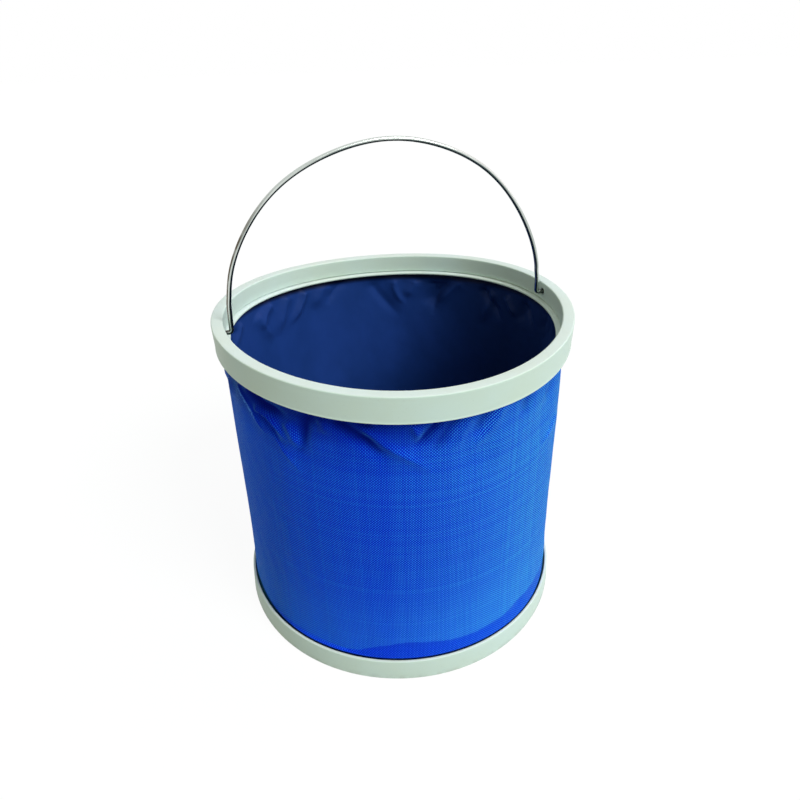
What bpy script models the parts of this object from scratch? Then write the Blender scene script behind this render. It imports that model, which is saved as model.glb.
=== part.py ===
"""Collapsible camp bucket: a moulded rim and a moulded foot joined by a cloth wall, with a wire bail.

Metres, +Z up. The origin is the middle of the foot's underside, and the bail turns about a line along X.
The cloth wall is made of bands, the cloth between two creases, which slide into each other when the
rim is pushed down on the foot.
"""

from math import cos, pi, radians, sin

import bmesh
import bpy
from mathutils import Matrix, Vector

# Overall sizes
BUCKET_HEIGHT = 0.2315
RIM_RADIUS = 0.130

# Gaps: between pieces that touch, and between bands of cloth that slide past each other
SEAT_GAP = 0.0003
CLOTH_CLEARANCE = 0.0003

# Rim: a channel with its open side down
RIM_HEIGHT = 0.0186
RIM_WALL = 0.0018
RIM_TOP = 0.0020
RIM_DRAFT = 0.0013
RIM_OUTER_ROUND = 0.0012
RIM_INNER_ROUND = 0.0008
RIM_INNER_WALL = 0.0014
RIM_INNER_DEPTH = 0.0142
RIM_LIP_REACH = 0.0003
RIM_LIP_HEIGHT = 0.0009
PINCH_BEAD = 0.0010
PINCH_BEAD_HEIGHT = 0.0030
PINCH_BEAD_RISE = 0.0020

# Ring that clamps the hem from inside, with the ledge seen under the rim's inner wall
LEDGE_REACH = 0.0038
LEDGE_THICKNESS = 0.0020
CLAMP_LEG = 0.0010
KEY_WIDTH = 0.0050
KEY_HEIGHT = 0.0014
KEY_BEARING_DEG = -19.0

# Cloth
CLOTH_THICKNESS = 0.0005
CLOTH_BANDS = 7
HEM_HEIGHT = 0.0076
HEM_BELOW_CLAMP = 0.0003

# Foot ring and the ring that clamps the cloth in it
BASE_HEIGHT = 0.0167
BASE_WALL = 0.0018
BASE_DRAFT = 0.0004
BASE_ROUND = 0.0009
BASE_FLANGE_WIDTH = 0.0095
BASE_FLANGE = 0.0020
BASE_CLAMP_HEIGHT = 0.0100
BASE_CLAMP_LEG = 0.0016
BASE_CLAMP_FLANGE = 0.0018
BASE_CLAMP_WIDTH = 0.0085

# Bail
WIRE_RADIUS = 0.0017
PIVOT_DEPTH = 0.0050
PIVOT_HOLE_CLEARANCE = 0.0008
HOOK_CLEARANCE = 0.0008
HOOK_DROP = 0.0036
BAIL_SIDE_ROOM = 0.0052
BAIL_LEG = 0.0086
BEND_RADIUS = 0.0020

# Fineness of the round shapes
ROUND_STEPS = 72
CORNER_STEPS = 3
BEND_STEPS = 4
ARCH_STEPS = 40
HOLE_STEPS = 20
WIRE_RESOLUTION = 2
SHARP_ANGLE_DEG = 35.0
CUT_OVERRUN = 0.0010

# Stack across the rim, from the skirt inwards
skirt_bottom_inner = RIM_RADIUS - RIM_DRAFT - RIM_WALL
bead_inner = skirt_bottom_inner - PINCH_BEAD
hem_outer = bead_inner - SEAT_GAP
hem_inner = hem_outer - 2 * CLOTH_THICKNESS
clamp_outer = hem_inner - SEAT_GAP
clamp_inner = clamp_outer - CLAMP_LEG
inner_wall_outer = clamp_inner - SEAT_GAP
inner_wall_inner = inner_wall_outer - RIM_INNER_WALL
ledge_inner = inner_wall_inner - LEDGE_REACH

# Heights in the rim
skirt_bottom = BUCKET_HEIGHT - RIM_HEIGHT
inner_wall_bottom = BUCKET_HEIGHT - RIM_INNER_DEPTH
ledge_top = inner_wall_bottom - SEAT_GAP
ledge_bottom = ledge_top - LEDGE_THICKNESS
pivot_height = BUCKET_HEIGHT - PIVOT_DEPTH
clamp_top = pivot_height - HOOK_DROP - HOOK_CLEARANCE
hem_top = clamp_top - HEM_BELOW_CLAMP
hem_bottom = hem_top - HEM_HEIGHT

# Cloth bands: the highest is the widest, and each fits inside the one above it
band_step = CLOTH_THICKNESS + CLOTH_CLEARANCE
band_height = (skirt_bottom - BASE_HEIGHT) / CLOTH_BANDS
top_band_outer = hem_inner + CLOTH_THICKNESS
low_band_outer = top_band_outer - (CLOTH_BANDS - 1) * band_step
low_band_inner = low_band_outer - CLOTH_THICKNESS

# Foot
base_inner = low_band_outer + SEAT_GAP
base_top_radius = base_inner + BASE_WALL
base_bottom_radius = base_top_radius + BASE_DRAFT
base_flange_inner = base_bottom_radius - BASE_FLANGE_WIDTH
floor_bottom = BASE_FLANGE + SEAT_GAP
floor_top = floor_bottom + CLOTH_THICKNESS
floor_radius = low_band_inner - SEAT_GAP
base_clamp_bottom = floor_top + SEAT_GAP


def clear_scene():
    for item in list(bpy.data.objects):
        bpy.data.objects.remove(item, do_unlink=True)


def make_material(name, colour, roughness, metallic=0.0):
    material = bpy.data.materials.new(name)
    material.use_nodes = True
    shader = material.node_tree.nodes["Principled BSDF"]
    shader.inputs["Base Color"].default_value = (*colour, 1.0)
    shader.inputs["Roughness"].default_value = roughness
    shader.inputs["Metallic"].default_value = metallic
    return material


def corner(centre_r, centre_z, radius, start_deg, end_deg, steps=CORNER_STEPS):
    """Points of a rounded corner of an outline, from one bearing to the other."""
    points = []
    for step in range(steps + 1):
        angle = radians(start_deg + (end_deg - start_deg) * step / steps)
        points.append((centre_r + radius * cos(angle), centre_z + radius * sin(angle)))
    return points


def add_object(name, mesh, material):
    item = bpy.data.objects.new(name, mesh)
    bpy.context.scene.collection.objects.link(item)
    mesh.materials.append(material)
    mesh.shade_smooth()
    mesh.set_sharp_from_angle(angle=radians(SHARP_ANGLE_DEG))
    return item


def turned(name, outline, material):
    """A ring turned about Z from a closed outline of (radius, height) points."""
    work = bmesh.new()
    corners = [work.verts.new((r, 0, z)) for r, z in outline]
    edges = [work.edges.new((a, b)) for a, b in zip(corners, corners[1:] + corners[:1])]
    bmesh.ops.spin(
        work,
        geom=corners + edges,
        cent=(0, 0, 0),
        axis=(0, 0, 1),
        angle=2 * pi,
        steps=ROUND_STEPS,
        use_merge=True,
    )
    bmesh.ops.recalc_face_normals(work, faces=work.faces)
    mesh = bpy.data.meshes.new(name)
    work.to_mesh(mesh)
    work.free()
    return add_object(name, mesh, material)


def disc(name, radius, bottom, top, material):
    work = bmesh.new()
    bmesh.ops.create_cone(
        work,
        cap_ends=True,
        segments=ROUND_STEPS,
        radius1=radius,
        radius2=radius,
        depth=top - bottom,
        matrix=Matrix.Translation((0, 0, (top + bottom) / 2)),
    )
    mesh = bpy.data.meshes.new(name)
    work.to_mesh(mesh)
    work.free()
    return add_object(name, mesh, material)


def block(work, low, high, bearing_deg):
    """Adds a box between two corners, then turns it about Z to a bearing."""
    size = Vector(high) - Vector(low)
    middle = (Vector(high) + Vector(low)) / 2
    turn = Matrix.Rotation(radians(bearing_deg), 4, "Z")
    place = turn @ Matrix.Translation(middle) @ Matrix.Diagonal((*size, 1))
    bmesh.ops.create_cube(work, size=1, matrix=place)


def tool_object(name, work):
    mesh = bpy.data.meshes.new(name)
    work.to_mesh(mesh)
    work.free()
    item = bpy.data.objects.new(name, mesh)
    bpy.context.scene.collection.objects.link(item)
    item.hide_render = True
    item.display_type = "WIRE"
    return item


def combine(item, tool, operation):
    modifier = item.modifiers.new(tool.name, "BOOLEAN")
    modifier.operation = operation
    modifier.solver = "EXACT"
    modifier.object = tool


def key_blocks(name, low, high):
    """Two blocks on opposite sides of the ring, where the rim and its clamp ring are keyed."""
    work = bmesh.new()
    for half_turn in (0, 180):
        block(work, low, high, KEY_BEARING_DEG + half_turn)
    return tool_object(name, work)


def bail_hole_cutter():
    """Two short rods along X, through the rim's inner wall only."""
    start = inner_wall_inner - CUT_OVERRUN
    end = inner_wall_outer + CUT_OVERRUN
    radius = WIRE_RADIUS + PIVOT_HOLE_CLEARANCE
    work = bmesh.new()
    for side in (-1, 1):
        place = Matrix.Translation((side * (start + end) / 2, 0, pivot_height))
        bmesh.ops.create_cone(
            work,
            cap_ends=True,
            segments=HOLE_STEPS,
            radius1=radius,
            radius2=radius,
            depth=end - start,
            matrix=place @ Matrix.Rotation(pi / 2, 4, "Y"),
        )
    return tool_object("bail_hole_cutter", work)


def top_rim(material):
    """Upside-down channel: inner wall, flat top, outer skirt with a lip, and a bead that pinches the hem."""
    top = BUCKET_HEIGHT
    under_top = top - RIM_TOP
    skirt_outer = RIM_RADIUS - RIM_DRAFT
    bead_low = skirt_bottom + PINCH_BEAD_RISE
    bead_high = bead_low + PINCH_BEAD_HEIGHT
    skirt_inner_top = RIM_RADIUS - RIM_WALL
    bead_end = skirt_bottom_inner + RIM_DRAFT * (bead_high + PINCH_BEAD - skirt_bottom) / RIM_HEIGHT
    outline = [(inner_wall_inner, inner_wall_bottom)]
    outline += corner(inner_wall_inner + RIM_INNER_ROUND, top - RIM_INNER_ROUND, RIM_INNER_ROUND, 180, 90)
    outline += corner(RIM_RADIUS - RIM_OUTER_ROUND, top - RIM_OUTER_ROUND, RIM_OUTER_ROUND, 90, 0)
    outline += [
        (skirt_outer, skirt_bottom + RIM_LIP_HEIGHT),
        (skirt_outer + RIM_LIP_REACH, skirt_bottom + RIM_LIP_HEIGHT - RIM_LIP_REACH),
        (skirt_outer + RIM_LIP_REACH, skirt_bottom),
        (skirt_bottom_inner, skirt_bottom),
        (bead_inner, bead_low),
        (bead_inner, bead_high),
        (bead_end, bead_high + PINCH_BEAD),
        (skirt_inner_top, under_top),
        (inner_wall_outer, under_top),
        (inner_wall_outer, inner_wall_bottom),
    ]
    rim = turned("top_rim", outline, material)
    combine(rim, bail_hole_cutter(), "DIFFERENCE")
    notch_side = KEY_WIDTH / 2 + SEAT_GAP
    low = (inner_wall_inner - CUT_OVERRUN, -notch_side, inner_wall_bottom - CUT_OVERRUN)
    high = (inner_wall_outer + CUT_OVERRUN, notch_side, inner_wall_bottom + KEY_HEIGHT)
    combine(rim, key_blocks("rim_notch_cutter", low, high), "DIFFERENCE")
    return rim


def rim_clamp_ring(material):
    """Ledge with a rounded nose, and a leg that stands up in the rim's channel inside the hem."""
    nose = LEDGE_THICKNESS / 2
    outline = corner(ledge_inner + nose, ledge_top - nose, nose, 270, 90, 2 * CORNER_STEPS)
    outline += [
        (clamp_inner, ledge_top),
        (clamp_inner, clamp_top),
        (clamp_outer, clamp_top),
        (clamp_outer, ledge_bottom),
    ]
    ring = turned("rim_clamp_ring", outline, material)
    low = (inner_wall_inner + SEAT_GAP, -KEY_WIDTH / 2, ledge_top - nose)
    high = ((clamp_inner + clamp_outer) / 2, KEY_WIDTH / 2, ledge_top + KEY_HEIGHT)
    combine(ring, key_blocks("clamp_key_block", low, high), "UNION")
    return ring


def cloth_band(number, material):
    """One band of the cloth wall. The lowest runs down into the foot, the highest up into the rim."""
    outer = low_band_outer + (number - 1) * band_step
    inner = outer - CLOTH_THICKNESS
    low = BASE_HEIGHT + (number - 1) * band_height
    high = low + band_height
    if number == 1:
        low = floor_bottom
    outline = [(inner, low), (outer, low)]
    if number == CLOTH_BANDS:
        high = hem_top
        outline += [(outer, hem_bottom), (hem_outer, hem_bottom), (hem_outer, high)]
    else:
        outline += [(outer, high)]
    outline += [(inner, high)]
    return turned(f"cloth_band_{number}", outline, material)


def base_ring(material):
    """Foot: a flat flange to stand on, and a wall that stands outside the cloth."""
    outline = [(base_flange_inner, 0)]
    outline += corner(base_bottom_radius - BASE_ROUND, BASE_ROUND, BASE_ROUND, -90, 0)
    outline += corner(base_top_radius - BASE_ROUND, BASE_HEIGHT - BASE_ROUND, BASE_ROUND, 0, 90)
    outline += [
        (base_inner, BASE_HEIGHT),
        (base_inner, BASE_FLANGE),
        (base_flange_inner, BASE_FLANGE),
    ]
    return turned("base_ring", outline, material)


def base_clamp_ring(material):
    """Ring inside the cloth that holds the wall cloth and the floor cloth down in the foot."""
    outer = floor_radius
    inner = outer - BASE_CLAMP_WIDTH
    bottom = base_clamp_bottom
    outline = [
        (inner, bottom),
        (outer, bottom),
        (outer, bottom + BASE_CLAMP_HEIGHT),
        (outer - BASE_CLAMP_LEG, bottom + BASE_CLAMP_HEIGHT),
        (outer - BASE_CLAMP_LEG, bottom + BASE_CLAMP_FLANGE),
        (inner, bottom + BASE_CLAMP_FLANGE),
    ]
    return turned("base_clamp_ring", outline, material)


def bail_path():
    """Half of the bail's centre line, from the hook's tip to the top of the arch, about the hinge line."""
    hook_x = inner_wall_outer + HOOK_CLEARANCE + WIRE_RADIUS
    leg_x = inner_wall_inner - BAIL_SIDE_ROOM
    points = [(hook_x, -HOOK_DROP)]
    points += corner(hook_x - BEND_RADIUS, -BEND_RADIUS, BEND_RADIUS, 0, 90, BEND_STEPS)
    points += corner(leg_x + BEND_RADIUS, BEND_RADIUS, BEND_RADIUS, -90, -180, BEND_STEPS)
    points += corner(0, BAIL_LEG, leg_x, 0, 90, ARCH_STEPS // 2)
    return points


def bail_wire(parent, material):
    """One bent wire: up the arch from one hook and down to the other."""
    half = bail_path()
    points = half + [(-x, z) for x, z in reversed(half[:-1])]
    curve = bpy.data.curves.new("bail_wire", "CURVE")
    curve.dimensions = "3D"
    curve.bevel_depth = WIRE_RADIUS
    curve.bevel_resolution = WIRE_RESOLUTION
    curve.use_fill_caps = True
    spline = curve.splines.new("POLY")
    spline.points.add(len(points) - 1)
    for point, (x, z) in zip(spline.points, points):
        point.co = (x, 0, z, 1)
    curve.materials.append(material)
    wire = bpy.data.objects.new("bail_wire", curve)
    bpy.context.scene.collection.objects.link(wire)
    wire.parent = parent
    return wire


def joint_empty(name, height, parent=None):
    empty = bpy.data.objects.new(name, None)
    bpy.context.scene.collection.objects.link(empty)
    empty.location = (0, 0, height)
    empty.parent = parent
    return empty


def build():
    clear_scene()
    plastic = make_material("grey_white_plastic", (0.66, 0.75, 0.69), 0.42)
    cloth = make_material("blue_coated_cloth", (0.012, 0.085, 0.52), 0.55)
    steel = make_material("bright_steel_wire", (0.62, 0.62, 0.60), 0.25, 1.0)

    rim_slide = joint_empty("rim_slide", 0)
    bail_hinge = joint_empty("bail_hinge", pivot_height, rim_slide)

    base_ring(plastic)
    base_clamp_ring(plastic)
    disc("floor_cloth", floor_radius, floor_bottom, floor_top, cloth)
    for number in range(1, CLOTH_BANDS + 1):
        band = cloth_band(number, cloth)
        if number == CLOTH_BANDS:
            band.parent = rim_slide
    top_rim(plastic).parent = rim_slide
    rim_clamp_ring(plastic).parent = rim_slide
    bail_wire(bail_hinge, steel)


build()
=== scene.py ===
"""Looks of the collapsible camp bucket: moulded rim and foot, a coated cloth wall and a wire bail.

The frame is the CAD's: +Z up, origin in the middle of the foot's underside, bail axis along X. Forms are in
millimetres. Materials, the camera and the stage are in metres.
"""

from math import atan2, cos, pi, radians, sin, sqrt

import bpy
import numpy as np
from mathutils import Matrix, Vector


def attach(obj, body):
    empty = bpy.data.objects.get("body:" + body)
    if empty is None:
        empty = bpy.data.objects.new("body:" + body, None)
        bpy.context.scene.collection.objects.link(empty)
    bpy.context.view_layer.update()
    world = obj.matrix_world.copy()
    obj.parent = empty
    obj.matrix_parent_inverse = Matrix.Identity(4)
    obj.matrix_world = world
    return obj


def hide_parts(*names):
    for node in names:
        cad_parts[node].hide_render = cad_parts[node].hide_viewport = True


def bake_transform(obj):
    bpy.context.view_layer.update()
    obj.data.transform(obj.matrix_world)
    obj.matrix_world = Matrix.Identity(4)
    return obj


MM = 0.001

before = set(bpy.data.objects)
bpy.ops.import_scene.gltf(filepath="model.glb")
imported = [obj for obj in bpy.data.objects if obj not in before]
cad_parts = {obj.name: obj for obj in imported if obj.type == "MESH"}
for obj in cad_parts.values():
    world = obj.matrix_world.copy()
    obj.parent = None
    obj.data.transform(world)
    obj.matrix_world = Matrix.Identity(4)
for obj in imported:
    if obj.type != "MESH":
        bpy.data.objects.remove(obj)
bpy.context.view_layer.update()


# The rim: an upside-down channel with an inner wall that has the bail's holes
BUCKET_HEIGHT = 231.5
RIM_RADIUS = 130.0
RIM_BOTTOM = 212.9
RIM_PLATE = 2.0
RIM_INNER = 121.6
RIM_INNER_OUTER = 123.0
RIM_INNER_BOTTOM = 217.3
JOINT_SLOT = 0.5
PIVOT_HEIGHT = 226.5
HOLE_RADIUS = 2.5
HOLE_CHAMFER = 1.25

# The clamp ring under it: a ledge inside, a leg in the channel, and two keys in the rim's notches
LEDGE_INNER = 117.8
LEDGE_TOP = 217.0
LEDGE_BOTTOM = 215.0
CLAMP_LEG_INNER = 123.3
CLAMP_LEG_OUTER = 124.3
KEY_BEARING = -19.0
KEY_HALF_WIDTH = 2.5
KEY_RISE = 1.35
NOTCH_HALF_WIDTH = 2.8
NOTCH_RISE = 1.5

# The foot's ring and its clamp. The lip stands lower than the solid's 16.7 mm, as in the photo
FOOT_TOP = 16.7
FOOT_LIP = 15.6
FOOT_RADIUS = 122.8
FOOT_LIP_RADIUS = 122.4
FOOT_WALL_INNER = 120.6
FOOT_FLANGE = 2.0
FOOT_OPENING = 113.3
FOOT_CLAMP_BOTTOM = 3.1
FOOT_CLAMP_TOP = 13.1
FOOT_CLAMP_FLANGE_TOP = 4.9
FOOT_CLAMP_INNER = 111.0
FOOT_CLAMP_LEG_INNER = 117.9
FOOT_CLAMP_OUTER = 119.5

# The cloth's thickness, and the wire's radius, legs and hooks
CLOTH = 0.5
WIRE = 1.7
LEG_X = 116.4
LEG_RISE = 8.6
HOOK_X = 125.5
HOOK_DROP = 3.6
WIRE_BEND = 2.0

# The full bucket's rim is pulled up at the bail, sags between and leans a little along X, as its bail does
RIM_WARP = 3.0
RIM_SINK = 0.75
RIM_TILT = 0.25
RIM_SHIFT = -1.5
BAIL_LEAN = -3.0

# Top edge of the hem and of the clamp ring's leg, in the rim's channel and clear of the bail's hooks
CLOTH_TOP = 218.4

# The photo's camera: where it stands, and the directions of its right, up and view axes
CAMERA_PLACE = (-0.13003, -0.45346, 0.42492)
CAMERA_RIGHT = (0.95652, -0.29125, -0.01567)
CAMERA_UP = (0.12286, 0.35358, 0.92730)
CAMERA_VIEW = (0.26454, 0.88891, -0.37398)
CAMERA_LENS = 31.222
CAMERA_SHIFT = (-0.0018, -0.125)

ROUND_STEPS = 360
FILLET_STEP = radians(11)
SHARP_ANGLE = radians(32)


# Meshes


def link(item):
    bpy.context.scene.collection.objects.link(item)
    return item


def mesh_object(name, points, faces, materials, sharp=SHARP_ANGLE, uv=None):
    """A smooth-shaded object from points in millimetres. uv gives one pair for each corner of each face."""
    mesh = bpy.data.meshes.new(name)
    mesh.from_pydata([tuple(p) for p in np.asarray(points) * MM], [], faces)
    if uv is not None:
        layer = mesh.uv_layers.new(name="thread")
        layer.data.foreach_set("uv", np.asarray(uv, np.float32).ravel())
    mesh.validate()
    mesh.shade_smooth()
    if sharp is not None:
        mesh.set_sharp_from_angle(angle=sharp)
    for material in materials:
        mesh.materials.append(material)
    return link(bpy.data.objects.new(name, mesh))


def rounded(corners):
    """A closed outline of (radius, height) points from corners of (radius, height, fillet)."""
    outline = []
    count = len(corners)
    for index in range(count):
        before, here, after = (
            np.array(corners[(index + k) % count][:2], float) for k in (-1, 0, 1)
        )
        fillet = corners[index][2]
        if not fillet:
            outline.append(tuple(here))
            continue
        a = (before - here) / np.linalg.norm(before - here)
        b = (after - here) / np.linalg.norm(after - here)
        half = np.arccos(np.clip(a @ b, -1, 1)) / 2
        centre = here + (a + b) / np.linalg.norm(a + b) * fillet / sin(half)
        first = here + a * fillet / np.tan(half) - centre
        last = here + b * fillet / np.tan(half) - centre
        start, end = atan2(first[1], first[0]), atan2(last[1], last[0])
        turn = (end - start + pi) % (2 * pi) - pi
        steps = max(2, int(np.ceil(abs(turn) / FILLET_STEP)))
        for k in range(steps + 1):
            angle = start + turn * k / steps
            outline.append((centre[0] + fillet * cos(angle), centre[1] + fillet * sin(angle)))
    return outline


def rim_lift(bearing):
    """How far the warped rim stands above the flat one at a bearing in radians, in millimetres."""
    return RIM_WARP * np.cos(2 * bearing) - RIM_TILT * np.cos(bearing) - RIM_SINK


def lathe(name, outline, material, warped=False):
    """Turns a closed outline about Z. warped lifts it as the loaded rim is."""
    radius, height = np.array(outline, float).T
    bearing = np.arange(ROUND_STEPS) * 2 * pi / ROUND_STEPS
    lift = rim_lift(bearing) if warped else np.zeros(ROUND_STEPS)
    x, y = np.outer(np.cos(bearing), radius), np.outer(np.sin(bearing), radius)
    points = np.stack([x, y, lift[:, None] + height], axis=2).reshape(-1, 3)
    count = len(outline)
    faces = []
    for i in range(ROUND_STEPS):
        here, there = i * count, (i + 1) % ROUND_STEPS * count
        for j in range(count):
            k = (j + 1) % count
            faces.append((here + j, here + k, there + k, there + j))
    runs_left = np.sum(radius * np.roll(height, -1) - np.roll(radius, -1) * height) > 0
    if runs_left:
        faces = [tuple(reversed(f)) for f in faces]
    return mesh_object(name, points, faces, [material])


def tube_faces(first, rings, sides):
    """The faces of a closed tube: rings of points from the point first on, with a cap at each end."""
    faces = []
    for low in range(first, first + (rings - 1) * sides, sides):
        for k in range(sides):
            m = (k + 1) % sides
            faces.append((low + k, low + m, low + sides + m, low + sides + k))
    last = first + (rings - 1) * sides
    faces.append(tuple(reversed(range(first, first + sides))))
    faces.append(tuple(range(last, last + sides)))
    return faces


def rod_tool(name, rods):
    """Rods along the bail's axis, to cut holes with. Each is a list of (x, radius) from end to end."""
    sides = 48
    points, faces = [], []
    for stations in rods:
        faces += tube_faces(len(points), len(stations), sides)
        for x, radius in stations:
            for k in range(sides):
                a = 2 * pi * k / sides
                points.append((x, radius * cos(a), PIVOT_HEIGHT + radius * sin(a)))
    return mesh_object(name, points, faces, [])


def box_tool(name, boxes):
    """Closed boxes, each (low corner, high corner, bearing in degrees about Z)."""
    points, faces = [], []
    for low, high, bearing in boxes:
        turn = Matrix.Rotation(radians(bearing), 3, "Z")
        first = len(points)
        for z in (low[2], high[2]):
            for x, y in ((low[0], low[1]), (high[0], low[1]), (high[0], high[1]), (low[0], high[1])):
                points.append(tuple(turn @ Vector((x, y, z))))
        a, b = first, first + 4
        faces += [(a + 3, a + 2, a + 1, a), (b, b + 1, b + 2, b + 3)]
        faces += [(a + k, a + (k + 1) % 4, b + (k + 1) % 4, b + k) for k in range(4)]
    return mesh_object(name, points, faces, [])


def key_boxes(inner, outer, half_width, low, high):
    """The two keys' boxes, or their notches', from low to high and from one radius to the other."""
    sides = (KEY_BEARING, KEY_BEARING + 180)
    return [((inner, -half_width, low), (outer, half_width, high), bearing) for bearing in sides]


def boolean(item, tool, operation):
    """Cuts or joins at once, and throws the tool away."""
    modifier = item.modifiers.new("cut", "BOOLEAN")
    modifier.operation = operation
    modifier.solver = "EXACT"
    modifier.object = tool
    made = bpy.data.meshes.new_from_object(item.evaluated_get(bpy.context.evaluated_depsgraph_get()))
    item.modifiers.clear()
    item.data = made
    bpy.data.objects.remove(tool)
    made.shade_smooth()
    made.set_sharp_from_angle(angle=SHARP_ANGLE)


def thicken(piece):
    """Gives a sheet the cloth's thickness, inwards, with its second material inside."""
    thick = piece.modifiers.new("thickness", "SOLIDIFY")
    thick.thickness = CLOTH * MM
    thick.offset = -1
    thick.material_offset = 1


# Materials


class Graph:
    """A short way to write a material's nodes."""

    def __init__(self, name):
        self.material = bpy.data.materials.new(name)
        self.material.use_nodes = True
        self.tree = self.material.node_tree
        self.shader = self.tree.nodes["Principled BSDF"]

    def put(self, value, socket):
        if isinstance(value, bpy.types.NodeSocket):
            self.tree.links.new(value, socket)
        elif isinstance(value, (tuple, list)) and len(value) == 3 and len(socket.default_value) == 4:
            socket.default_value = (*value, 1.0)
        else:
            socket.default_value = value

    def node(self, kind, inputs=(), **settings):
        made = self.tree.nodes.new(kind)
        for key, value in settings.items():
            setattr(made, key, value)
        for key, value in dict(inputs).items():
            self.put(value, made.inputs[key])
        return made

    def set(self, **inputs):
        """Sets the shader's sockets, with underscores for the spaces in their names."""
        for key, value in inputs.items():
            self.put(value, self.shader.inputs[key.replace("_", " ")])

    def math(self, operation, *values):
        return self.node("ShaderNodeMath", dict(enumerate(values)), operation=operation).outputs[0]

    def ramp(self, value, low, high, out_low=0.0, out_high=1.0):
        """value from low to high becomes out_low to out_high, and stops there."""
        names = ("Value", "From Min", "From Max", "To Min", "To Max")
        inputs = dict(zip(names, (value, low, high, out_low, out_high)))
        return self.node("ShaderNodeMapRange", inputs, clamp=True).outputs[0]

    def noise(self, place, scale, detail=3.0):
        inputs = {"Vector": place, "Scale": scale, "Detail": detail, "Roughness": 0.55}
        return self.node("ShaderNodeTexNoise", inputs).outputs[0]

    def stretched(self, place, scale):
        return self.node("ShaderNodeMapping", {"Vector": place, "Scale": scale}).outputs[0]

    def mix(self, share, first, second, blend="MIX"):
        made = self.node("ShaderNodeMix", data_type="RGBA", blend_type=blend)
        for socket, value in zip((made.inputs[0], made.inputs[6], made.inputs[7]), (share, first, second)):
            self.put(value, socket)
        return made.outputs[2]

    def bump(self, height, distance, strength, normal=None):
        inputs = {"Height": height, "Distance": distance, "Strength": strength}
        if normal is not None:
            inputs["Normal"] = normal
        return self.node("ShaderNodeBump", inputs).outputs[0]

    def attribute(self, name):
        return self.node("ShaderNodeAttribute", attribute_name=name).outputs["Fac"]

    def place(self):
        """The point's place on the bucket, in metres."""
        return self.node("ShaderNodeTexCoord").outputs["Object"]

    def thread(self):
        """The piece's own flat coordinates, in metres."""
        return self.node("ShaderNodeUVMap", uv_map="thread").outputs[0]

    def split(self, vector):
        return self.node("ShaderNodeSeparateXYZ", {0: vector}).outputs

    def join(self, x, y, z=0.0):
        return self.node("ShaderNodeCombineXYZ", {0: x, 1: y, 2: z}).outputs[0]


PLASTIC = (0.638, 0.768, 0.694)


def plastic_material(name, rub=(0.0, 0.003)):
    """Pale grey-green moulded plastic. rub is the band of heights that is scuffed and a little soiled."""
    g = Graph(name)
    place = g.place()
    cloud = g.noise(place, 22.0, 4.0)
    grain = g.noise(place, 1500.0, 2.0)
    flow = g.noise(g.stretched(place, (30, 30, 240)), 1.0, 3.0)
    speck = g.ramp(g.noise(place, 520.0, 1.0), 0.70, 0.78)
    warm, cool = (
        tuple(c * k for c, k in zip(PLASTIC, shift)) for shift in ((0.985, 0.975, 0.935), (1.0, 1.012, 1.03))
    )
    colour = g.mix(g.ramp(cloud, 0.32, 0.68), warm, cool)
    colour = g.mix(g.ramp(flow, 0.3, 0.7, 0.0, 0.10), colour, (0.71, 0.84, 0.77))
    colour = g.mix(g.math("MULTIPLY", speck, 0.10), colour, (0.36, 0.40, 0.36))
    low = g.ramp(g.split(place)[2], *rub, 1.0, 0.0)
    worn = g.math("MULTIPLY", low, g.ramp(g.noise(place, 160.0), 0.42, 0.62))
    colour = g.mix(g.math("MULTIPLY", worn, 0.35), colour, (0.42, 0.43, 0.38))
    # Painted light: faces that look up are a little paler, as if lit more from above
    up = g.split(g.node("ShaderNodeNewGeometry").outputs["Normal"])[2]
    colour = g.mix(g.ramp(up, 0.55, 0.95), colour, (1.15, 1.05, 1.13), "MULTIPLY")
    scratch = g.noise(g.stretched(place, (900, 900, 60)), 1.0, 2.0)
    scratch = g.ramp(scratch, 0.66, 0.72)
    rough = g.ramp(cloud, 0.3, 0.7, 0.46, 0.56)
    rough = g.math("ADD", rough, g.math("MULTIPLY", worn, 0.22))
    rough = g.math("ADD", rough, g.math("MULTIPLY", scratch, 0.08))
    normal = g.bump(grain, 0.00006, 0.5)
    normal = g.bump(cloud, 0.0008, 0.25, normal)
    normal = g.bump(scratch, 0.00003, 0.4, normal)
    g.set(Base_Color=colour, Roughness=rough, Normal=normal, IOR=1.49, Specular_IOR_Level=0.25)
    g.set(Subsurface_Weight=0.06, Subsurface_Radius=(0.004, 0.004, 0.003), Subsurface_Scale=0.5)
    return g.material


# The distance between threads, in metres
WEAVE_PITCH = 0.00096


def thread_counts(g):
    """How many threads lie between the cloth's corner and a place, across and along."""
    u, v = g.split(g.thread())[:2]
    return g.math("DIVIDE", u, WEAVE_PITCH), g.math("DIVIDE", v, WEAVE_PITCH)


def weave(g, across, along):
    """Heights, 0 to 1, of a plain weave's two sets of threads."""
    heights = []
    for over, run, start in ((across, along, 0.0), (along, across, 1.0)):
        dome = g.math("POWER", g.math("ABSOLUTE", g.math("SINE", g.math("MULTIPLY", over, pi))), 0.6)
        row = g.math("ADD", g.math("FLOOR", over), start)
        wave = g.math("SINE", g.math("MULTIPLY", g.math("ADD", run, row), pi))
        rise = g.math("MULTIPLY_ADD", wave, 0.5, 0.5)
        heights.append(g.math("MULTIPLY", dome, rise))
    return heights


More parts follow.
